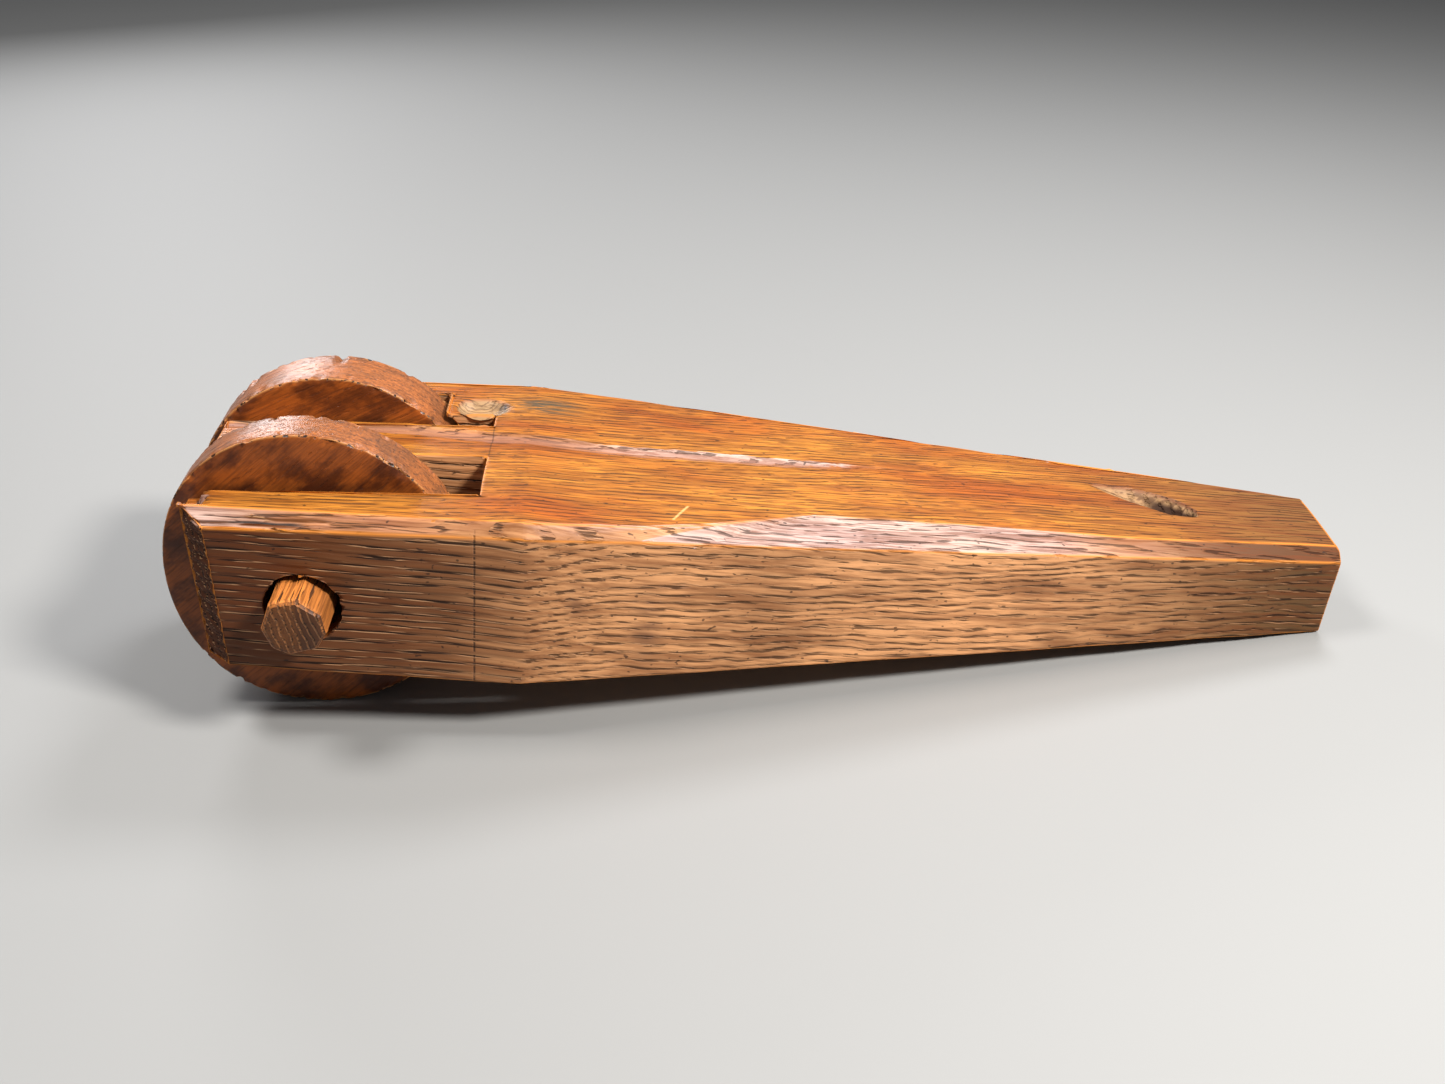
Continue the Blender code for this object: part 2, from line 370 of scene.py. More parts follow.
class Finish:
    """One material and the nodes that feed its shader."""

    def __init__(self, name, gloss=0.5):
        self.material = bpy.data.materials.new(name)
        self.material.use_nodes = True
        self.tree = self.material.node_tree
        self.shader = self.tree.nodes["Principled BSDF"]
        self.shader.inputs["Specular IOR Level"].default_value = gloss

    def add(self, kind, settings=None, sockets=None, output=0):
        """Makes a node, sets what is given of it, and returns one of its outputs."""
        node = self.tree.nodes.new("ShaderNode" + kind)
        for key, value in (settings or {}).items():
            setattr(node, key, value)
        for key, value in (sockets or {}).items():
            self.plug(node.inputs[key], value)
        return Wire(self, node.outputs[output])

    def plug(self, socket, value):
        """Feeds a socket from a wire, a number, a vector or a colour without its alpha."""
        if isinstance(value, Wire):
            self.tree.links.new(value.socket, socket)
        elif hasattr(socket.default_value, "__len__") and len(value) < len(socket.default_value):
            socket.default_value = (*value, 1.0)
        else:
            socket.default_value = value

    def surface(self, name, value):
        self.plug(self.shader.inputs[name], value)

    def mix(self, factor, first, second):
        """Blends two colours: 0 gives the first, 1 the second."""
        return self.add("Mix", {"data_type": "RGBA"}, {0: factor, 6: first, 7: second}, output=2)

    def coated(self, colour, *coats):
        """A colour with others laid over it in turn, each given as its mask and its colour."""
        for mask, coat in coats:
            colour = self.mix(mask, colour, coat)
        return colour

    def stretched(self, place, sizes, detail=2.0, rough=0.5, offset=(0, 0, 0)):
        """Noise from 0 to 1, with grains of these sizes along the place's X, Y and Z."""
        fitted = self.add("Mapping", {"vector_type": "POINT"},
                          {"Vector": place, "Location": offset, "Scale": [1 / size for size in sizes]})
        return self.add("TexNoise", {"noise_dimensions": "3D"},
                        {"Vector": fitted, "Scale": 1.0, "Detail": detail, "Roughness": rough})

    def attribute(self, name):
        return self.add("Attribute", {"attribute_name": name}, output="Fac")

    def in_frame(self, matrix):
        """Object coordinates turned into a piece's own frame, in millimetres: vector, X, Y, Z."""
        place = self.add("TexCoord", output="Object")
        inverse = matrix.inverted()
        own = self.add("Mapping", {"vector_type": "POINT"}, {
            "Vector": place,
            "Location": inverse.to_translation(),
            "Rotation": inverse.to_euler(),
            "Scale": (1 / MM,) * 3,
        })
        split = self.add("SeparateXYZ", sockets={"Vector": own}).socket.node
        return [own] + [Wire(self, output) for output in split.outputs]

    def facing(self):
        """The surface normal's X, Y and Z."""
        turned = self.add("SeparateXYZ", sockets={"Vector": self.add("NewGeometry", output="Normal")})
        return [Wire(self, output) for output in turned.socket.node.outputs]

    def rings(self, across, spacing):
        """The growth rings' early wood: 1 where each ring starts, falling to 0 half-way across."""
        return self.add("Math", {"operation": "FRACT"}, {0: across / spacing}).rise(0.55, 0.08)

    def vector(self, x, y, z):
        return self.add("CombineXYZ", sockets={0: x, 1: y, 2: z})

    def relief(self, height):
        """A Bump of a height in millimetres, fed to the shader's normal."""
        self.surface("Normal", self.add("Bump", sockets={"Height": height, "Distance": MM, "Strength": 1.0}))


# Colours of single marks, and of grain that only one piece shows.
TINT = SimpleNamespace(
    scratch=(0.75, 0.42, 0.16),
    stain=(0.05, 0.02, 0.018),
    crack=(0.012, 0.006, 0.004),
    knot_light=(0.36, 0.21, 0.10),
    knot_dark=(0.15, 0.08, 0.038),
    scoop_light=(0.37, 0.23, 0.115),
    scoop_ring=(0.05, 0.024, 0.013),
    torn=(0.085, 0.06, 0.035),
    rim=(0.50, 0.20, 0.075),
    rim_streak=(0.09, 0.032, 0.014),
    wheel_fibre=(0.07, 0.02, 0.007),
    wheel_pore=(0.02, 0.009, 0.006),
    wheel_arris=(0.62, 0.28, 0.09),
    pit=(0.025, 0.010, 0.006),
    axle_fibre=(0.17, 0.05, 0.012),
    axle_darker=(0.065, 0.024, 0.010),
    axle_pore=(0.022, 0.009, 0.005),
    axle_ring=(0.4, 0.2, 0.09),
)

# Marks on the beam, each as its middle and its reach along U, Y or V.
SCRIBED_U = (50.3, 0.5)
SQUARED_U, SQUARED_Y = (50.4, 0.4), (35, 12.5)
LONG_STAIN_U, LONG_STAIN_V = (101, 8), (-3, 19)
SMALL_STAIN_U, SMALL_STAIN_V = (80, 5), (6, 9)
# SHADED_HOLE: painted shade where the rear slot's end lies in shadow.
SHADED_HOLE_U, SHADED_HOLE_Y = (52, 4.5), (62, 5)
TORN_U, TORN_Y = (66, 15), (63, 9)

# The scratch on the top passes through this U and Y, leans by this much, and spans this part of Y.
SCRATCH_U, SCRATCH_Y, SCRATCH_LEAN, SCRATCH_SPAN = 107, -6, 0.5, (-1, 5.5)

# The middle of the scooped knot's rings, how much the cracks rise along the beam, how gently the
# grain bends, and the size of a pore.
SWIRL_U, SWIRL_Y = 43, 71
CRACK_CLIMB = 0.036
GRAIN_BEND = 40
PORE_SIZES = (16, 0.62, 0.62)


def beam_places(oak):
    """The beam's own coordinates, masks for its faces, and what was carved into it."""
    place, u, y, v = oak.in_frame(BEAM_FRAME)
    normal_x, normal_y, normal_z = oak.facing()
    top = normal_z.rise(0.45, 0.85)
    side = 1 - top
    return SimpleNamespace(
        place=place, u=u, y=y, v=v, top=top, side=side,
        bevel=normal_z.rise(0.5, 0.7) * normal_z.rise(0.975, 0.95) * normal_y.rise(-0.12, -0.2),
        sawn_end=normal_x.rise(-0.25, -0.4) * side,
        gouge=oak.attribute("gouge"),
        hollow=oak.attribute("knot_hollow"),
        scoop=oak.attribute("scoop"))


def beam_grain(oak, at):
    """Rings, fibres, pores and blotches, along a grain that drifts sideways and downwards."""
    place, u, y, v = at.place, at.u, at.y, at.v

    # How far the grain has moved sideways and downwards, in millimetres, at each place along the beam.
    drift = u * -0.05 + (u - 75).over(0, GRAIN_BEND) * 0.18
    dive = (u - 55).over(0, GRAIN_BEND) * -0.14 + (u - 215).over(0, GRAIN_BEND) * 0.055
    wander = oak.stretched(place, (95, 17, 17)) - 0.5
    wave = oak.stretched(place, (15, 6, 6), detail=1.0, offset=(31, 7, 3)) - 0.5
    flutter = wave * u.rise(30, 110) * 1.3
    across = (v - dive) * 0.55 - (y - drift) * 0.8 + wander * 5.0 + flutter
    early = oak.rings(across, spacing=1.5)

    course = oak.vector(u, y - drift, v - dive + flutter)
    dashes = oak.stretched(course, PORE_SIZES, detail=1.0, offset=(5, 11, 2))
    lips = oak.stretched(course, PORE_SIZES, detail=1.0, offset=(5, 11, 2.7))
    specks = oak.stretched(place, (2.6, 1.5, 1.5), detail=1.0, offset=(1, 8, 5))
    pores = dashes.rise(0.48, 0.58) * early.rise(0.2, 0.6)
    return SimpleNamespace(
        wave=wave, early=early, dashes=dashes, pores=pores,
        fine=oak.stretched(course, (30, 0.8, 0.8), detail=3.0, rough=0.65),
        broad=oak.stretched(course, (80, 3, 3), offset=(7, 1, 4)),
        # The flecks are painted glints on the pores' lips, which also rise a little in the relief.
        glint_flecks=lips.rise(0.53, 0.60) * early.rise(0.15, 0.5) * (1 - pores) * at.side,
        blotch=oak.stretched(place, (60, 18, 18), detail=3.0, rough=0.55, offset=(3, 3, 3)),
        specks=specks.rise(0.70, 0.76),
        curl=oak.stretched(place, (3.2, 1.1, 3), rough=0.6, offset=(2, 2, 2)))


def beam_wood(oak, at, grain, style):
    """A warm top, a near side that darkens towards the wheels, a dull tip, and the grain over them."""
    u, side = at.u, at.side
    # Near side darker towards the wheels: partly darker wood, partly painted shade; inner walls stay lit.
    lit = 1 - u.rise(120, -20) * at.y.rise(5, 2)
    top_tone = oak.mix(grain.blotch.rise(0.35, 0.7), style.top_colour, style.top_shade)
    side_tone = oak.coated(
        oak.mix(lit, style.side_dark_and_shaded, style.side_warm),
        (grain.blotch.rise(0.45, 0.75) * 0.55, style.side_shade),
        (at.sawn_end * 0.85, style.side_shade))

    # Painted sheen (a pale highlight) on the near bevel; darker pores and painted glints round the wheels.
    painted_sheen = u.rise(60, 110) * u.rise(265, 215) + u.rise(0, -25) * 0.8
    handled = side * u.rise(75, 35)
    return oak.coated(
        oak.mix(at.top, side_tone, top_tone),
        (u.rise(215, 330) * (0.8 + side * 0.2), style.tip_shade),
        (at.bevel * (0.15 + painted_sheen * 0.55) * u.rise(330, 260), style.painted_sheen_colour),
        (at.bevel * u.rise(250, 300) * 0.75, style.side_shade),
        (grain.broad.rise(0.42, 0.62) * 0.45, style.grain_colour),
        (grain.fine.rise(0.44, 0.60) * (0.6 - side * 0.25), style.grain_colour),
        (grain.pores * (0.72 + handled * 0.2), style.pore_and_shade_colour),
        # Painted glints beside the pores.
        (grain.glint_flecks * (0.5 + handled * 0.4), style.glint_fleck_colour),
        (grain.specks * 0.75, style.pore_and_shade_colour),
        # Painted sheen in the gouge: a dull mauve standing in for the light it reflects.
        (at.gouge.rise(0.3, 0.7) * 0.55, style.gouge_sheen_colour))


def scribed_line(at, grain):
    """The line scribed down both sides where the slots end."""
    return at.u.near(*SCRIBED_U) * at.side.rise(0.5, 1) * grain.dashes.rise(0.36, 0.46)


def beam_marks(oak, at, grain, colour, style):
    """The scribed lines, the scratch, two stains on each side, and the worn arrises."""
    u, y, v = at.u, at.y, at.v
    squared = u.near(*SQUARED_U) * at.top * y.near(*SQUARED_Y).rise(0, 0.05)
    off_scratch = u - SCRATCH_U - (y - SCRATCH_Y) * SCRATCH_LEAN
    scratch = off_scratch.near(0, 0.7) * y.near(*SCRATCH_SPAN).rise(0, 0.1) * at.top
    stain = (u.near(*LONG_STAIN_U) * v.near(*LONG_STAIN_V)
             + u.near(*SMALL_STAIN_U) * v.near(*SMALL_STAIN_V) * 0.7)
    worn = oak.attribute("arris") * grain.broad.rise(0.2, 0.45)
    return oak.coated(
        colour,
        (scribed_line(at, grain) * 0.75 + squared * 0.6, style.pore_and_shade_colour),
        (scratch * 0.8, TINT.scratch),
        (stain * at.side * grain.broad.rise(0.3, 0.55) * 0.6, TINT.stain),
        (worn * 0.75, style.worn_colour))


def beam_hollows(oak, at, grain, colour, style):
    """The knot hollow's bare wood, the scooped knot's rings, the torn grain beside it, and painted shade."""
    u, y, curl = at.u, at.y, grain.curl
    bare = oak.coated(
        oak.mix(curl.rise(0.4, 0.62), TINT.knot_light, TINT.knot_dark),
        # Painted shade at the hollow's deep, steep end.
        (u.rise(272, 279) * at.hollow.rise(0.2, 0.6), style.pore_and_shade_colour))
    swirl = ((u - SWIRL_U) ** 2 + (y - SWIRL_Y) ** 2) ** 0.5 + (curl - 0.5) * 2.5
    ringed = oak.mix(oak.rings(swirl, spacing=1.8) * 0.65, TINT.scoop_light, TINT.scoop_ring)
    torn = u.near(*TORN_U) * y.near(*TORN_Y) * at.top * grain.fine.rise(0.4, 0.56) * (1 - at.scoop)
    return oak.coated(
        colour,
        (at.hollow.rise(0.02, 0.3) * 0.9, bare),
        (at.scoop.rise(0.05, 0.4) * 0.9, ringed),
        # Painted shade where the rear slot's end lies in shadow, broken by the curl.
        (u.near(*SHADED_HOLE_U) * y.near(*SHADED_HOLE_Y) * curl.rise(0.35, 0.6) * at.top,
         style.pore_and_shade_colour),
        (torn * 1.6, TINT.torn))


def beam_cracks(at, grain):
    """The dark of the open cracks along the near bevel, at the wheel end."""
    u = at.u
    level = at.v + (grain.wave * 0.8 - u * CRACK_CLIMB)

    # Each crack's height and half-width, then where it fades out along the beam.
    lines = (level.near(26.6, 0.42) * u.rise(6, -2)
             + level.near(25.2, 0.3) * u.rise(-6, -12)
             + level.near(27.7, 0.3) * u.rise(14, 4) * u.rise(-22, -16))
    return lines * at.bevel * grain.dashes.rise(0.2, 0.35)


def beam_finish(style):
    """Oiled oak: straight rings along the beam, open pores as broken dark dashes, worn arrises."""
    oak = Finish("oiled_oak_beam", gloss=0.22)
    at = beam_places(oak)
    grain = beam_grain(oak, at)
    colour = beam_wood(oak, at, grain, style)
    colour = beam_marks(oak, at, grain, colour, style)
    colour = beam_hollows(oak, at, grain, colour, style)
    oak.surface("Base Color", oak.mix(beam_cracks(at, grain), colour, TINT.crack))

    wood = 0.33 + grain.fine * 0.12 + grain.pores * 0.3 + grain.blotch * 0.1
    bare = at.hollow * 0.3 + at.sawn_end * 0.2 + at.gouge * 0.45
    handled = at.u.rise(240, 310) * 0.2 + at.side * at.u.rise(60, 0) * 0.1
    oak.surface("Roughness", wood + bare + handled)
    height = grain.fine * 0.12 + grain.broad * 0.15 + (1 - grain.early) * (0.04 + at.side * 0.22)
    oak.relief(height - grain.pores * 0.3 + grain.glint_flecks * 0.12 - scribed_line(at, grain) * 0.2)
    return oak.material


def wheel_finish(name, tone, shade, centre, grain_turn):
    """Oak sawn across a plank: pores show as dots where the rim cuts them, as lines elsewhere."""
    oak = Finish(name, gloss=0.3)
    own = Matrix.Translation(centre) @ Matrix.Rotation(grain_turn, 4, "Y") @ Matrix.Scale(MM, 4)
    place, x, y, z = oak.in_frame(own)
    wander = oak.stretched(place, (40, 12, 12)) - 0.5
    early = oak.rings(z * 0.7 + y * 0.7 + wander * 6, spacing=2.4)
    fine = oak.stretched(place, (16, 0.6, 0.6), rough=0.6)
    dots = oak.stretched(place, (5, 0.95, 0.95), detail=1.0, offset=(4, 4, 4))
    turned = oak.stretched(place, (22, 0.9, 22), offset=(8, 3, 5))
    mottle = oak.stretched(place, (16, 9, 9), detail=4.0, rough=0.6, offset=(2, 6, 1))
    pits = oak.stretched(place, (1.6, 1.6, 1.6), detail=1.0, offset=(6, 2, 9)).rise(0.55, 0.62)
    rim = abs(oak.facing()[1]).rise(0.8, 0.4)
    pores = dots.rise(0.52, 0.6) * (0.25 + early * 0.75) * (0.3 + rim * 0.3)
    arris = oak.attribute("arris")
    oak.surface("Base Color", oak.coated(
        oak.mix(mottle.rise(0.40, 0.62), tone, shade),
        (rim * 0.35, TINT.rim),
        (rim * turned.rise(0.5, 0.62) * 0.4, TINT.rim_streak),
        (fine.rise(0.42, 0.65) * 0.4, TINT.wheel_fibre),
        (pores * 0.85, TINT.wheel_pore),
        (arris * mottle.rise(0.3, 0.5) * 0.7, TINT.wheel_arris),
        ((arris * 2 + rim * x.rise(8, 30) * 0.2) * pits * 0.9, TINT.pit)))
    oak.surface("Roughness", 0.3 + fine * 0.15 + pores * 0.3)
    oak.relief(fine * 0.08 - pores * (1 - rim * 0.6) * 0.25 - arris * pits * 0.3
               + mottle * (1 - rim) * 0.25)
    return oak.material


def axle_finish(style):
    """Whittled oak: long pores along the stick, and rings and pores in its end grain."""
    oak = Finish("whittled_oak_axle", gloss=0.25)
    own = Matrix.Translation((AXLE_X, 0, AXLE_HEIGHT)) @ Matrix.Scale(MM, 4)
    place, x, _, z = oak.in_frame(own)
    end = abs(oak.facing()[1]).rise(0.5, 0.9)
    wander = oak.stretched(place, (8, 60, 8)) - 0.5
    early = oak.rings(x * 0.95 + z * 0.2 + wander * 3, spacing=1.9)
    fine = oak.stretched(place, (0.55, 22, 0.55), rough=0.6)
    dots = oak.stretched(place, (0.65, 9, 0.65), detail=1.0, offset=(4, 4, 4))
    pores = dots.rise(0.5, 0.58) * early.rise(0.2, 0.6)
    oak.surface("Base Color", oak.coated(
        oak.mix(fine.rise(0.4, 0.65) * 0.7, style.axle_colour, TINT.axle_fibre),
        # Darker on the stick's +X half and on its end grain.
        ((x.rise(0, 7) * 0.5 + end * 0.9) * (1 - early * 0.3), TINT.axle_darker),
        (pores * 0.85, TINT.axle_pore),
        (end * early.rise(0.5, 0.9) * 0.25, TINT.axle_ring)))
    oak.surface("Roughness", 0.38 + fine * 0.15 + pores * 0.25)
    oak.relief(fine * 0.12 - pores * 0.35 - early * 0.12)
    return oak.material


def floor_finish(style):
    floor = Finish("pale_floor")
    floor.surface("Base Color", style.floor_colour)
    floor.surface("Roughness", 0.7)
    return floor.material


# ------------------------------------------------------------------------------------------------
# Pieces
# ------------------------------------------------------------------------------------------------

# The gouge's middle and half-width along the beam: (U, Y) and (U, half-width) points.
GOUGE_CENTRE = ((-40, 43.0), (23, 42.2), (52, 37.0), (86, 35.4), (118, 39.6), (151, 43.3), (196, 49.5))
GOUGE_WIDTH = ((-40, 4.0), (52, 5.4), (118, 4.6), (165, 3.2), (196, 1.4))
GOUGE_FADE, GOUGE_END = 120, 204


# The knot hollow's middle and lean, and its lengths towards the wheels and the tip and its half-width.
KNOT_U, KNOT_Y, KNOT_LEAN = 277.0, 49.0, 0.34
KNOT_TAIL, KNOT_NOSE, KNOT_REACH = 22.0, 12.0, 7.0

# The scooped knot's middle and reach along U and Y, the ripples' spacing, and where the chip ends.
SCOOP_U, SCOOP_Y = (45, 9.0), (60, 7.5)
RIPPLE_PITCH = 4.2
CHIP_EDGE_U = -29.5

# Cracks in the near bevel: the height of each, and where along the beam it starts and ends.
CRACKS = ((26.2, -33, 4), (24.9, -30, -8), (27.3, -20, 12))


def gouge_share(place, normal):
    """The long shallow gouge along the top: crisp at its far edge, fading out towards the tip."""
    u, y, _ = TO_BEAM @ place
    if normal.z < 0.7 or u > GOUGE_END:
        return 0.0
    width = along(GOUGE_WIDTH, u)
    beside = y - along(GOUGE_CENTRE, u)
    if beside > 0:
        shape = smooth_step(width * 0.55, width * 0.35, beside)
    else:
        shape = smooth_step(-width * 0.75, -width * 0.05, beside)
    return shape * smooth_step(GOUGE_END, GOUGE_FADE, u)


def knot_share(place, normal):
    """The hollow where a knot was: steep at its far and tip ends, running out to a tail."""
    u, y, _ = TO_BEAM @ place
    across = y - KNOT_Y + (u - KNOT_U) * KNOT_LEAN
    length = (u - KNOT_U) / (KNOT_TAIL if u < KNOT_U else KNOT_NOSE)
    reach = KNOT_REACH * max(1 - length * length, 0.0) ** 0.6
    if normal.z < 0.5 or reach < 0.3:
        return 0.0
    steep = smooth_step(reach, reach * 0.55, across)
    gentle = smooth_step(-reach, reach * 0.2, across)
    return steep * gentle * smooth_step(250, 282, u)


def scoop_share(place, normal):
    """The scooped knot at the end of the rear slot."""
    u, y, _ = TO_BEAM @ place
    if normal.z < 0.4:
        return 0.0
    length, across = (u - SCOOP_U[0]) / SCOOP_U[1], (y - SCOOP_Y[0]) / SCOOP_Y[1]
    return smooth_step(1.0, 0.25, length * length + across * across)


def bend_share(place, normal):
    """The gentle bends of the near side and the top at the crest."""
    u, y, v = TO_BEAM @ place
    on_side = normal.y < -0.9 and -19 < v < 24
    on_top = normal.z > 0.9 and -16 < y < 80
    return bump_at(u, CREST_U, 20) if on_side or on_top else 0.0


def ripple_share(place, normal):
    """Ripples left by hewing across the bevel at the near prong's end."""
    u, y, v = TO_BEAM @ place
    if not (-0.9 < normal.x < -0.35 and -0.95 < normal.y < -0.35):
        return 0.0
    wave = v / RIPPLE_PITCH + 0.6 * noise.noise(Vector((u, y, v)) / 6)
    return 0.5 + 0.5 * math.sin(wave * 2 * math.pi)


def chip_share(place, normal):
    """The chip off the near prong's inner corner, at its end."""
    u, y, v = TO_BEAM @ place
    if v < 18 or y > 0 or u > -20:
        return 0.0
    ragged = 1.6 * noise.noise(Vector((y, v, 2.0)) / 2.5)
    edge = CHIP_EDGE_U + ragged + max(-6 - y, 0.0) * 0.8
    return smooth_step(edge + 0.9, edge - 0.9, u) * smooth_step(-11, -7, y)


def crack_share(place, normal):
    """Open cracks along the near bevel, at the wheel end."""
    u, y, v = TO_BEAM @ place
    if not (-36 < u < 14 and normal.y < -0.2 and normal.z > 0.4):
        return 0.0
    total = 0.0
    for level, start, end in CRACKS:
        sway = 0.35 * noise.noise(Vector((u / 7, level, 0)))
        depth = bump_at(v - (u + 10) * CRACK_CLIMB + sway, level, 0.8)
        total += depth * smooth_step(start, start + 6, u) * smooth_step(end, end - 8, u)
    return total


def far_edge_share(place, normal):
    """The far side was hewn freehand: low waves, and a small step near the knot hollow."""
    u, y, v = TO_BEAM @ place
    if normal.y < 0.3 or v < -20:
        return 0.0
    wave = 0.45 + 0.4 * math.sin(u / 19.0) + 0.2 * math.sin(u / 7.3 + 1)
    step = 0.9 * smooth_step(243, 246, u) * smooth_step(275, 250, u)
    return min(max(wave, 0) * 0.6 + step, 1.0) * smooth_step(-10, 20, v)


# What is carved into the beam, in order: name, depth, share, direction, kept for the material.
CARVINGS = (
    ("gouge", 1.5 * MM, gouge_share, "Z", True),
    ("knot_hollow", 5.5 * MM, knot_share, "Z", True),
    ("scoop", 2.6 * MM, scoop_share, "Z", True),
    ("ripples", 0.7 * MM, ripple_share, "NORMAL", False),
    ("corner_break", 3.0 * MM, chip_share, "Z", False),
    ("cracks", 0.6 * MM, crack_share, "NORMAL", False),
    ("far_waves", 1.4 * MM, far_edge_share, "Y", False),
)

# The beam's mesh is cut square along U, Y and V: from, to and how far apart.
BEAM_CUTS = ((END_U, TIP_U + 3, 9.6), (-22, 85, 4.8), (UNDERSIDE_V, CREST_V, 4.8))
ARRIS_ANGLE = math.radians(14)
BORE_REACH = 14


def near_bore(edge):
    """Whether an edge lies on the axle hole's wall, which is cut into many narrow faces."""
    middle = TO_BEAM @ ((edge.verts[0].co + edge.verts[1].co) / 2)
    return math.hypot(middle.x, middle.z) < BORE_REACH


def climbs(edge):
    """Whether an edge rises towards the tip, as only the seams inside the near bevel do."""
    start, end = sorted((TO_BEAM @ vert.co for vert in edge.verts), key=lambda place: place.x)
    return start.x > 90 and end.x - start.x > 10 and end.z - start.z > 1


def is_arris(edge):
    """Whether an edge of the beam is a real corner, to be rounded."""
    return (len(edge.link_faces) == 2 and edge.calc_face_angle() > ARRIS_ANGLE
            and not near_bore(edge) and not climbs(edge))


def step_to(start, end, step):
    """Places a step apart, the first of them half a step from the start."""
    count = int((end - start) / step)
    return [start + step * (index + 0.5) for index in range(count)]


def hew_beam(style):
    """Rounds the beam's arrises, cuts its mesh finely, and carves and weathers it."""
    beam = copy_of_node("beam", "hewn_beam")
    round_arrises(beam, style.arris, 2, is_arris, clamp=False)
    axes = BEAM_FRAME.to_3x3().normalized()
    for axis, cuts in enumerate(BEAM_CUTS):
        unit = Matrix.Identity(3).col[axis]
        slice_piece(beam, [BEAM_FRAME @ (unit * place) for place in step_to(*cuts)], axes.col[axis])
    refine(beam, 2)
    keep_group(beam, "arris")
    soften(beam, "bends", bend_share, repeats=40)
    for carving in CARVINGS:
        carve(beam, *carving)
    weather(beam, "hewn_flats", depth=0.7 * MM, size=26 * MM)
    close_up(beam, angle=math.radians(40))
    settle(beam, "beam", beam_finish(style))


# What sets the two wheels apart. Notches are in the far edge, as degrees round from +X and half-widths.
FRONT_WHEEL = SimpleNamespace(
    node="front_wheel", name="sawn_front_wheel", joint="front_wheel_spin", finish="front_wheel_oak",
    bore=11.6 * MM, far_arris=0.8 * MM, flat_turn=75, flat_depth=3.4 * MM, notches=(), grain_turn=-40)
REAR_WHEEL = SimpleNamespace(
    node="rear_wheel", name="sawn_rear_wheel", joint="rear_wheel_spin", finish="rear_wheel_oak",
    bore=12.2 * MM, far_arris=1.8 * MM, flat_turn=60, flat_depth=0.8 * MM,
    notches=((86, 2.2), (125, 1.8), (131, 1.5)), grain_turn=-25)

WHEEL_SIDES = 144
FACE_RINGS = 10
RIM_LAYERS = (-0.3, -0.1, 0.1, 0.3)
NICK_SCALE, FINE_NICK_SCALE = 420, 900


class Disc:
    """A plain cylinder that fills a wheel node's box, and where a place is within it."""

    def __init__(self, node, name):
        low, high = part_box(node)
        self.centre = (low + high) / 2
        self.radius, self.depth = (high.x - low.x) / 2, high.y - low.y
        self.piece = add_cylinder(name, WHEEL_SIDES, self.radius, self.depth, self.centre)

    def polar(self, place):
        """The angle round the axle, then shares of the radius outwards and of the depth to the far face."""
        out = place - self.centre
        return math.atan2(out.z, out.x), math.hypot(out.x, out.z) / self.radius, out.y / self.depth

    def at_rim(self, edge, side):
        """Whether an edge runs round the rim, at the near face for side -1 and at the far one for 1."""
        polars = [self.polar(vert.co) for vert in edge.verts]
        return all(reach > 0.995 and deep * side > 0.4 for _, reach, deep in polars)


def flattening(disc, most_turn):
    """A share for carve: 1 on the rim straight away from the beam, 0 at most_turn round from there."""
    def share(place, normal):
        angle, reach, _ = disc.polar(place)
        turn = abs(angle % (2 * math.pi) - math.pi)
        return smooth_step(most_turn, 0, turn) * reach ** 3
    return share


def nicking(disc):
    """A share for carve: scattered nicks along both edges of the rim."""
    def share(place, normal):
        _, reach, deep = disc.polar(place)
        if reach < 0.955 or abs(deep) < 0.36:
            return 0.0
        speckle = noise.noise(place * NICK_SCALE) + 0.3 * noise.noise(place * FINE_NICK_SCALE)
        return smooth_step(0.1, 0.55, speckle)
    return share


def notching(disc, notches):
    """A share for carve: the notches in the rim's far edge."""
    def share(place, normal):
        angle, reach, deep = disc.polar(place)
        inside = smooth_step(0.93, 0.99, reach) * smooth_step(0.05, 0.4, deep)
        return sum(bump_at(math.degrees(angle), where, width) for where, width in notches) * inside
    return share


def turn_wheel(wheel, tone, shade, arris):
    """Builds a wheel: rings inset into a disc's faces and bridged through the bore, then worn."""
    disc = Disc(wheel.node, wheel.name)
    piece = disc.piece
    start_edit(piece, "FACE")
    pick(piece, "faces", lambda face: abs(face.normal.y) > 0.9)
    for _ in range(FACE_RINGS):
        bpy.ops.mesh.inset(thickness=(disc.radius - wheel.bore) / FACE_RINGS, use_boundary=True)
    bpy.ops.mesh.delete(type="FACE")
    bpy.ops.mesh.select_mode(type="EDGE")
    pick(piece, "edges", lambda edge: edge.is_boundary)
    bpy.ops.mesh.bridge_edge_loops()
    bpy.ops.object.mode_set(mode="OBJECT")

    round_arrises(piece, arris, 2, lambda edge: disc.at_rim(edge, -1))
    round_arrises(piece, wheel.far_arris, 2, lambda edge: disc.at_rim(edge, 1))
    layers = [disc.centre + Vector((0, disc.depth * share, 0)) for share in RIM_LAYERS]
    slice_piece(piece, layers, (0, 1, 0))
    refine(piece, 1)
    keep_group(piece, "arris")
    carve(piece, "out_of_round", -wheel.flat_depth, flattening(disc, math.radians(wheel.flat_turn)), "X")
    carve(piece, "nicks", 0.9 * MM, nicking(disc))
    if wheel.notches:
        carve(piece, "notches", 1.6 * MM, notching(disc, wheel.notches))
    weather(piece, "worn_faces", depth=0.5 * MM, size=16 * MM)
    close_up(piece, angle=math.radians(45))
    centre, grain_turn = JOINT[wheel.joint]["pos_m"], math.radians(wheel.grain_turn)
    settle(piece, wheel.node, wheel_finish(wheel.finish, tone, shade, centre, grain_turn))


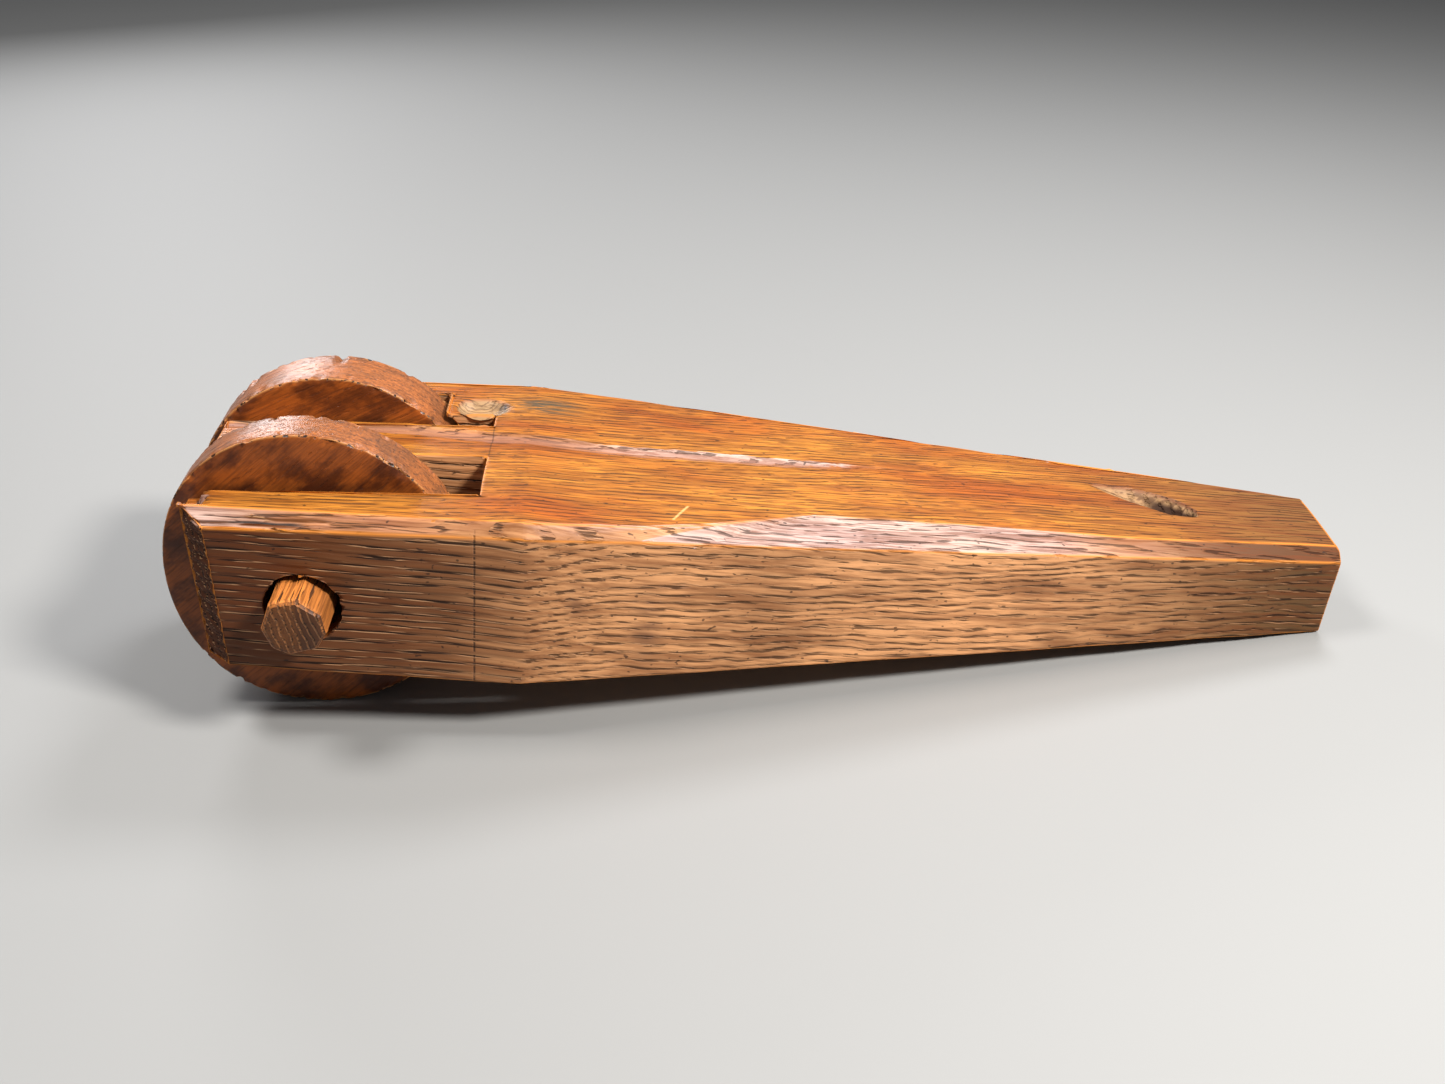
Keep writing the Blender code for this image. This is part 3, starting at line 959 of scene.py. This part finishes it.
# Knife cuts along the axle: degrees round from +X, distance from the middle in millimetres, and lean.
KNIFE_CUTS = ((97, 8.9, 0.004), (52, 9.1, -0.006), (8, 9.0, 0.004), (330, 9.2, 0.002),
              (285, 9.1, -0.004), (242, 9.2, 0.006), (200, 9.1, 0.0), (160, 9.0, -0.004))
STICK_RADIUS, STICK_SIDES, STICK_SLICES = 9.8 * MM, 36, 30


def whittle_axle(style):
    """Cuts a round stick with a knife all round, bevels its ends and roughens it."""
    low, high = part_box("axle")
    length = high.y - low.y
    centre = (low + high) / 2
    axle = add_cylinder("whittled_axle", STICK_SIDES, STICK_RADIUS, length, centre)
    start_edit(axle)
    for angle, distance, lean in KNIFE_CUTS:
        turn = math.radians(angle)
        out = Vector((math.cos(turn), lean, math.sin(turn)))
        bpy.ops.mesh.select_all(action="SELECT")
        bpy.ops.mesh.bisect(plane_co=centre + out * distance * MM, plane_no=out, use_fill=True,
                            clear_outer=True)

    # The cuts leave some very short edges, which the bevel at the ends could not cross.
    bpy.ops.mesh.select_all(action="SELECT")
    bpy.ops.mesh.remove_doubles(threshold=0.9 * MM)
    bpy.ops.object.mode_set(mode="OBJECT")
    round_arrises(axle, 2.2 * MM, 3, lambda edge: any(
        all(abs(vert.co.y - end) < 1e-5 for vert in edge.verts) for end in (low.y, high.y)))
    places = [low.y + length * (step + 0.5) / STICK_SLICES for step in range(STICK_SLICES)]
    slice_piece(axle, [Vector((0, place, 0)) for place in places], (0, 1, 0))
    refine(axle, 2)
    keep_group(axle, "arris")
    weather(axle, "knife_marks", depth=0.5 * MM, size=9 * MM)
    close_up(axle, angle=math.radians(22))
    settle(axle, "axle", axle_finish(style))


# ------------------------------------------------------------------------------------------------
# Stage
# ------------------------------------------------------------------------------------------------

STAGE_MIDDLE = (0.0, 0.0, 0.04)
FLOOR_SIZE = 8

# The lights: name, direction from the stage's middle, distance, size, power, colour.
LIGHTS = (
    ("light_by_shoulder", (0.55, -0.45, 0.75), 0.95, 0.18, 16.0, (1.0, 0.97, 0.93)),
    ("light_over_wheels", (-0.45, -0.03, 0.89), 1.0, 0.30, 7.0, (1.0, 0.98, 0.96)),
    ("light_behind_wheels", (-0.45, 0.80, 0.38), 1.2, 0.35, 5.0, (0.98, 0.98, 1.0)),
    ("light_behind_tip", (0.32, 0.47, 0.82), 1.1, 0.35, 8.0, (0.96, 0.97, 1.0)),
)

# The camera's place, its turns in degrees (heading, tilt, roll), and its lens and sensor in millimetres.
CAMERA_PLACE = (-0.04361, -0.40470, 0.26901)
CAMERA_TURNS = ((-3.3697, "Z"), (60.4484, "X"), (0.8270, "Z"))
CAMERA_LENS, CAMERA_SENSOR = 35.362, 36


def lay_floor(style):
    put_away()
    bpy.ops.mesh.primitive_plane_add(size=FLOOR_SIZE, location=(0, 0, 0))
    floor = bpy.context.object
    floor.name = "floor"
    floor.data.materials.append(floor_finish(style))


def hang_light(name, direction, distance, size, power, colour):
    """Adds a round soft light that faces the stage's middle."""
    put_away()
    aim = Vector(direction).normalized()
    bpy.ops.object.light_add(type="AREA", location=Vector(STAGE_MIDDLE) + aim * distance)
    light = bpy.context.object
    light.name = name
    light.data.shape = "DISK"
    light.data.size = size
    light.data.energy = power
    light.data.color = colour
    light.rotation_euler = aim.to_track_quat("Z", "Y").to_euler()


def set_camera():
    put_away()
    bpy.ops.object.camera_add(location=CAMERA_PLACE)
    camera = bpy.context.object
    camera.name = "view_from_near_side"
    heading, tilt, roll = (Matrix.Rotation(math.radians(turn), 4, axis) for turn, axis in CAMERA_TURNS)
    camera.rotation_euler = (heading @ tilt @ roll).to_euler()
    camera.data.sensor_width = CAMERA_SENSOR
    camera.data.lens = CAMERA_LENS
    camera.data.clip_start = 0.01
    camera.data.dof.use_dof = False
    bpy.context.scene.camera = camera


def set_sky(style):
    """Sets the soft light from all round, and the plain view of colours."""
    world = bpy.data.worlds.new("studio_air")
    bpy.context.scene.world = world
    world.use_nodes = True
    background = world.node_tree.nodes["Background"]
    background.inputs["Color"].default_value = (*style.air_colour, 1.0)
    background.inputs["Strength"].default_value = style.air_strength
    bpy.context.scene.view_settings.view_transform = "Standard"


# ------------------------------------------------------------------------------------------------
# Add-on
# ------------------------------------------------------------------------------------------------

def colour_property(name, description, default):
    return FloatVectorProperty(name=name, description=description, default=default, size=3,
                               min=0.0, max=1.0, subtype="COLOR")


class BeamStyle(bpy.types.PropertyGroup):
    arris: FloatProperty(name="Arris", description="Width of the rounding on the worn edges",
                         default=0.9 * MM, unit="LENGTH", subtype="DISTANCE")
    top_colour: colour_property("Top", "Oiled oak on the top", (0.49, 0.185, 0.024))
    top_shade: colour_property("Top, darker", "Darker patches on the top", (0.36, 0.085, 0.008))
    # Darker wood and painted shade on the near side towards the wheels.
    side_dark_and_shaded: colour_property("Side", "Handled oak on the near side", (0.10, 0.032, 0.010))
    side_warm: colour_property("Side, warmer", "The side towards the tip", (0.73, 0.35, 0.15))
    side_shade: colour_property("Side, darker", "Dirt rubbed into the side", (0.06, 0.018, 0.006))
    tip_shade: colour_property("Tip, darker", "Handling dirt towards the tip", (0.10, 0.048, 0.016))
    # Painted sheen: a pale highlight laid into the near bevel's colour.
    painted_sheen_colour: colour_property("Painted sheen", "Pale bloom on the near bevel", (0.50, 0.40, 0.38))
    # Painted sheen: the gouge's mauve stands in for reflected light.
    gouge_sheen_colour: colour_property("Gouge", "Dulled wood in the gouge", (0.29, 0.14, 0.10))
    # Painted glints: pale flecks where a low light would catch the pores' lips.
    glint_fleck_colour: colour_property("Flecks", "Raised pale lips beside the pores", (0.52, 0.27, 0.13))
    grain_colour: colour_property("Grain", "Darker streaks along the grain", (0.13, 0.032, 0.006))
    # Also the painted shade in the knot hollow and at the rear slot's end.
    pore_and_shade_colour: colour_property("Pores", "Dirt in the open pores", (0.018, 0.008, 0.005))
    worn_colour: colour_property("Worn edges", "Fresh wood on the worn edges", (0.72, 0.24, 0.03))
    axle_colour: colour_property("Axle", "Whittled oak", (0.72, 0.24, 0.05))
    wheel_colour: colour_property("Front wheel", "Red-brown oak", (0.30, 0.075, 0.012))
    wheel_shade: colour_property("Front wheel, darker", "Dark mottling", (0.075, 0.017, 0.005))
    rear_colour: colour_property("Rear wheel", "Orange-red oak", (0.36, 0.09, 0.014))
    rear_shade: colour_property("Rear wheel, darker", "Dark mottling", (0.13, 0.032, 0.008))


class StageStyle(bpy.types.PropertyGroup):
    floor_colour: colour_property("Floor", "Plain pale floor", (0.27, 0.27, 0.265))
    air_colour: colour_property("Air", "Colour of the soft light from all round", (0.93, 0.95, 1.0))
    air_strength: FloatProperty(name="Air strength", description="Strength of the soft light from all round",
                                default=0.14, min=0.0)


class BEAM_OT_beam(bpy.types.Operator):
    """Hew the beam: arrises, gouge, knots, cracks and ripples"""
    bl_idname = "wheeled_beam.beam"
    bl_label = "Hewn beam"

    def execute(self, context):
        hew_beam(context.scene.beam_style)
        return {"FINISHED"}


class BEAM_OT_wheels(bpy.types.Operator):
    """Saw the two wheels"""
    bl_idname = "wheeled_beam.wheels"
    bl_label = "Wheels"

    def execute(self, context):
        style = context.scene.beam_style
        turn_wheel(FRONT_WHEEL, style.wheel_colour, style.wheel_shade, style.arris)
        turn_wheel(REAR_WHEEL, style.rear_colour, style.rear_shade, style.arris)
        return {"FINISHED"}


class BEAM_OT_axle(bpy.types.Operator):
    """Whittle the axle"""
    bl_idname = "wheeled_beam.axle"
    bl_label = "Axle"

    def execute(self, context):
        whittle_axle(context.scene.beam_style)
        return {"FINISHED"}


class BEAM_OT_stage(bpy.types.Operator):
    """Set the floor, the lights and the camera"""
    bl_idname = "wheeled_beam.stage"
    bl_label = "Stage"

    def execute(self, context):
        style = context.scene.stage_style
        lay_floor(style)
        set_sky(style)
        for light in LIGHTS:
            hang_light(*light)
        set_camera()
        return {"FINISHED"}


class BEAM_PT_pieces(bpy.types.Panel):
    """Buttons for the pieces and the stage, and their settings"""
    bl_idname = "BEAM_PT_pieces"
    bl_label = "Wheeled Beam"
    bl_space_type = "VIEW_3D"
    bl_region_type = "UI"
    bl_category = "Wheeled Beam"

    def draw(self, context):
        for operator in (BEAM_OT_beam, BEAM_OT_wheels, BEAM_OT_axle, BEAM_OT_stage):
            self.layout.operator(operator.bl_idname)
        for style in (context.scene.beam_style, context.scene.stage_style):
            for name in style.__annotations__:
                self.layout.prop(style, name)


CLASSES = (BeamStyle, StageStyle, BEAM_OT_beam, BEAM_OT_wheels, BEAM_OT_axle, BEAM_OT_stage, BEAM_PT_pieces)


def register():
    for item in CLASSES:
        bpy.utils.register_class(item)
    bpy.types.Scene.beam_style = PointerProperty(type=BeamStyle)
    bpy.types.Scene.stage_style = PointerProperty(type=StageStyle)


def unregister():
    del bpy.types.Scene.stage_style
    del bpy.types.Scene.beam_style
    for item in reversed(CLASSES):
        bpy.utils.unregister_class(item)


def main():
    register()
    bpy.ops.wheeled_beam.beam()
    bpy.ops.wheeled_beam.wheels()
    bpy.ops.wheeled_beam.axle()
    bpy.ops.wheeled_beam.stage()
    put_away()


if __name__ == "__main__":
    main()
